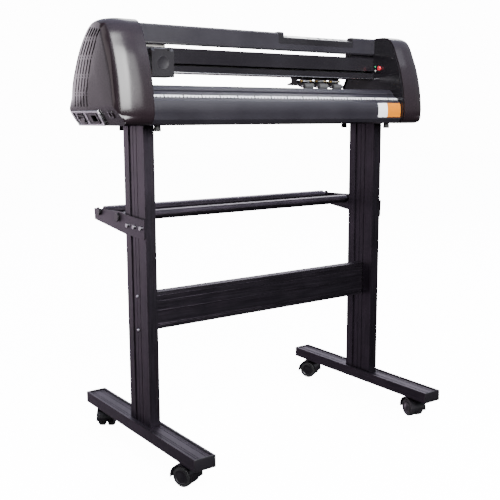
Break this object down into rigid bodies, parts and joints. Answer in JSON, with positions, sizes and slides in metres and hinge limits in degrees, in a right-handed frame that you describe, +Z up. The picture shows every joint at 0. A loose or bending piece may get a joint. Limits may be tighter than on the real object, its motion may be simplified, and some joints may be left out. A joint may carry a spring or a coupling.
{
  "type": "vinyl cutter",
  "caption": "Roll-fed vinyl cutting plotter on a wheeled two-post stand, with a sliding blade carriage, pinch rollers, driven media roller, control panel and roll-support arms.",
  "frame": {"origin": "on the floor, midway between the posts and midway between the front and back casters", "axes": "+X to the operator's right, +Y away from the operator, +Z up"},
  "size_m": [0.95, 0.554, 1.0447],
  "materials": {
    "anodised": "black anodised, fine satin",
    "cover_black": "satin moulded plastic",
    "slate": "dark slate powder coat",
    "black_steel": "black enamel",
    "black_plastic": "fine grained",
    "tread": "matt hard rubber",
    "bright_steel": "bright plated",
    "grit_steel": "knurled",
    "brass": "machined",
    "rule_white": "printed film",
    "strip_white": "matt",
    "belt_rubber": "matt",
    "red_button": "glossy",
    "key_grey": "matt",
    "screen": "clear over grey green",
    "board_green": "solder mask",
    "roller_rubber": "matt"
  },
  "bodies": {
    "stand_and_machine": {"left_foot": "anodised", "right_foot": "anodised", "left_post": "anodised", "right_post": "anodised", "crossbar": "anodised", "left_cover": "cover_black", "right_cover": "cover_black", "base_housing": "slate", "top_cover": "slate", "left_roll_arm": "black_steel", "right_roll_arm": "black_steel", "left_side_plate": "black_steel", "right_side_plate": "black_steel", "carriage_rail": "black_steel", "control_panel": "black_plastic", "power_inlet": "black_plastic", "power_plate": "bright_steel", "left_arm_screws": "bright_steel", "right_arm_screws": "bright_steel", "carriage_motor": "bright_steel", "feed_motor": "bright_steel", "ruler_strip": "rule_white", "cutting_strip": "strip_white", "carriage_belt": "belt_rubber", "display_window": "screen", "main_board": "board_green"},
    "left_front_swivel": {"left_front_caster_housing": "black_plastic"},
    "left_front_wheels": {"left_front_caster_wheels": "tread"},
    "left_rear_swivel": {"left_rear_caster_housing": "black_plastic"},
    "left_rear_wheels": {"left_rear_caster_wheels": "tread"},
    "right_front_swivel": {"right_front_caster_housing": "black_plastic"},
    "right_front_wheels": {"right_front_caster_wheels": "tread"},
    "right_rear_swivel": {"right_rear_caster_housing": "black_plastic"},
    "right_rear_wheels": {"right_rear_caster_wheels": "tread"},
    "front_tube": {"front_roll_tube": "anodised"},
    "rear_tube": {"rear_roll_tube": "anodised"},
    "media_drive": {"grit_roller": "grit_steel", "feed_gear": "black_plastic"},
    "feed_pinion": {"motor_pinion": "brass"},
    "carriage": {"carriage_body": "black_plastic"},
    "tool": {"tool_lift": "black_plastic", "blade_holder": "brass"},
    "clamp": {"clamp_knob": "black_plastic"},
    "drive_pulley": {"belt_drive_pulley": "bright_steel"},
    "idler_pulley": {"belt_idler_pulley": "bright_steel"},
    "pinch_slide_1": {"pinch_bracket_1": "black_steel"},
    "pinch_lever_1": {"pinch_arm_1": "black_plastic"},
    "pinch_wheel_1": {"pinch_roller_1": "roller_rubber"},
    "pinch_slide_2": {"pinch_bracket_2": "black_steel"},
    "pinch_lever_2": {"pinch_arm_2": "black_plastic"},
    "pinch_wheel_2": {"pinch_roller_2": "roller_rubber"},
    "pinch_slide_3": {"pinch_bracket_3": "black_steel"},
    "pinch_lever_3": {"pinch_arm_3": "black_plastic"},
    "pinch_wheel_3": {"pinch_roller_3": "roller_rubber"},
    "left_key_cap": {"left_key": "key_grey"},
    "right_key_cap": {"right_key": "key_grey"},
    "origin_key_cap": {"origin_key": "key_grey"},
    "pause_key_cap": {"pause_key": "key_grey"},
    "stop_button_cap": {"stop_button": "red_button"},
    "power_rocker": {"power_switch": "black_plastic"}
  },
  "joints": [
    {"name": "left_front_caster_swivel", "type": "hinge", "parent": "stand_and_machine", "child": "left_front_swivel", "pos_m": [-0.366, -0.22, 0.06], "axis": [0, 0, 1], "continuous": true},
    {"name": "left_front_wheel_spin", "type": "hinge", "parent": "left_front_swivel", "child": "left_front_wheels", "pos_m": [-0.37169, -0.20721, 0.025], "axis": [0.9135, 0.4067, 0], "continuous": true},
    {"name": "left_rear_caster_swivel", "type": "hinge", "parent": "stand_and_machine", "child": "left_rear_swivel", "pos_m": [-0.366, 0.22, 0.06], "axis": [0, 0, 1], "continuous": true},
    {"name": "left_rear_wheel_spin", "type": "hinge", "parent": "left_rear_swivel", "child": "left_rear_wheels", "pos_m": [-0.35738, 0.23103, 0.025], "axis": [0.788, -0.6157, 0], "continuous": true},
    {"name": "right_front_caster_swivel", "type": "hinge", "parent": "stand_and_machine", "child": "right_front_swivel", "pos_m": [0.366, -0.22, 0.06], "axis": [0, 0, 1], "continuous": true},
    {"name": "right_front_wheel_spin", "type": "hinge", "parent": "right_front_swivel", "child": "right_front_wheels", "pos_m": [0.36939, -0.20642, 0.025], "axis": [0.9703, -0.2419, 0], "continuous": true},
    {"name": "right_rear_caster_swivel", "type": "hinge", "parent": "stand_and_machine", "child": "right_rear_swivel", "pos_m": [0.366, 0.22, 0.06], "axis": [0, 0, 1], "continuous": true},
    {"name": "right_rear_wheel_spin", "type": "hinge", "parent": "right_rear_swivel", "child": "right_rear_wheels", "pos_m": [0.359, 0.23212, 0.025], "axis": [0.866, 0.5, 0], "continuous": true},
    {"name": "front_roll_tube_spin", "type": "hinge", "parent": "stand_and_machine", "child": "front_tube", "pos_m": [0, 0.085, 0.5865], "axis": [1, 0, 0], "continuous": true},
    {"name": "rear_roll_tube_spin", "type": "hinge", "parent": "stand_and_machine", "child": "rear_tube", "pos_m": [0, 0.189, 0.592], "axis": [1, 0, 0], "continuous": true},
    {"name": "media_drive_spin", "type": "hinge", "parent": "stand_and_machine", "child": "media_drive", "pos_m": [0, 0.008, 0.8908], "axis": [1, 0, 0], "continuous": true},
    {"name": "feed_pinion_spin", "type": "hinge", "parent": "stand_and_machine", "child": "feed_pinion", "pos_m": [0.4, 0.023, 0.91678], "axis": [1, 0, 0], "continuous": true},
    {"name": "carriage_travel", "type": "slide", "parent": "stand_and_machine", "child": "carriage", "axis": [1, 0, 0], "range_m": [0, 0.66]},
    {"name": "tool_lift_travel", "type": "slide", "parent": "carriage", "child": "tool", "axis": [0, 0, 1], "range_m": [-0.0025, 0], "stiffness_N_per_m": 800, "springref_m": 0.0015},
    {"name": "clamp_knob_turn", "type": "hinge", "parent": "tool", "child": "clamp", "pos_m": [-0.3685, -0.0395, 0.953], "axis": [0, -1, 0], "range_deg": [0, 720]},
    {"name": "drive_pulley_spin", "type": "hinge", "parent": "stand_and_machine", "child": "drive_pulley", "pos_m": [-0.4108, 0.023, 0.951], "axis": [0, 0, 1], "continuous": true},
    {"name": "idler_pulley_spin", "type": "hinge", "parent": "stand_and_machine", "child": "idler_pulley", "pos_m": [0.365, 0.023, 0.951], "axis": [0, 0, 1], "continuous": true},
    {"name": "pinch_slide_1_travel", "type": "slide", "parent": "stand_and_machine", "child": "pinch_slide_1", "axis": [1, 0, 0], "range_m": [-0.44, 0.0015]},
    {"name": "pinch_lever_1_lift", "type": "hinge", "parent": "pinch_slide_1", "child": "pinch_lever_1", "pos_m": [0.158, 0.04, 0.9205], "axis": [1, 0, 0], "range_deg": [-10, 0], "stiffness_Nm_per_rad": 0.5, "springref_deg": 20.05},
    {"name": "pinch_wheel_1_spin", "type": "hinge", "parent": "pinch_lever_1", "child": "pinch_wheel_1", "pos_m": [0.158, 0.008, 0.9093], "axis": [1, 0, 0], "continuous": true},
    {"name": "pinch_slide_2_travel", "type": "slide", "parent": "stand_and_machine", "child": "pinch_slide_2", "axis": [1, 0, 0], "range_m": [-0.0015, 0.0015]},
    {"name": "pinch_lever_2_lift", "type": "hinge", "parent": "pinch_slide_2", "child": "pinch_lever_2", "pos_m": [0.209, 0.04, 0.9205], "axis": [1, 0, 0], "range_deg": [-10, 0], "stiffness_Nm_per_rad": 0.5, "springref_deg": 20.05},
    {"name": "pinch_wheel_2_spin", "type": "hinge", "parent": "pinch_lever_2", "child": "pinch_wheel_2", "pos_m": [0.209, 0.008, 0.9093], "axis": [1, 0, 0], "continuous": true},
    {"name": "pinch_slide_3_travel", "type": "slide", "parent": "stand_and_machine", "child": "pinch_slide_3", "axis": [1, 0, 0], "range_m": [-0.0015, 0.095]},
    {"name": "pinch_lever_3_lift", "type": "hinge", "parent": "pinch_slide_3", "child": "pinch_lever_3", "pos_m": [0.26, 0.04, 0.9205], "axis": [1, 0, 0], "range_deg": [-10, 0], "stiffness_Nm_per_rad": 0.5, "springref_deg": 20.05},
    {"name": "pinch_wheel_3_spin", "type": "hinge", "parent": "pinch_lever_3", "child": "pinch_wheel_3", "pos_m": [0.26, 0.008, 0.9093], "axis": [1, 0, 0], "continuous": true},
    {"name": "left_key_press", "type": "slide", "parent": "stand_and_machine", "child": "left_key_cap", "axis": [0, 0.3305, -0.9438], "range_m": [0, 0.0012], "stiffness_N_per_m": 400},
    {"name": "right_key_press", "type": "slide", "parent": "stand_and_machine", "child": "right_key_cap", "axis": [0, 0.3305, -0.9438], "range_m": [0, 0.0012], "stiffness_N_per_m": 400},
    {"name": "origin_key_press", "type": "slide", "parent": "stand_and_machine", "child": "origin_key_cap", "axis": [0, 0.3305, -0.9438], "range_m": [0, 0.0012], "stiffness_N_per_m": 400},
    {"name": "pause_key_press", "type": "slide", "parent": "stand_and_machine", "child": "pause_key_cap", "axis": [0, 0.3305, -0.9438], "range_m": [0, 0.0012], "stiffness_N_per_m": 400},
    {"name": "stop_button_press", "type": "slide", "parent": "stand_and_machine", "child": "stop_button_cap", "axis": [1, 0, 0], "range_m": [0, 0.002], "stiffness_N_per_m": 400},
    {"name": "power_rocker_tilt", "type": "hinge", "parent": "stand_and_machine", "child": "power_rocker", "pos_m": [-0.46377, 0.083, 0.82708], "axis": [0, 1, 0], "range_deg": [-13, 0]}
  ],
  "couplings": [
    {"joint": "feed_pinion_spin", "follows": "media_drive_spin", "ratio": -3},
    {"joint": "drive_pulley_spin", "follows": "carriage_travel", "rad_per_m": 103.1},
    {"joint": "idler_pulley_spin", "follows": "carriage_travel", "rad_per_m": 103.1}
  ]
}
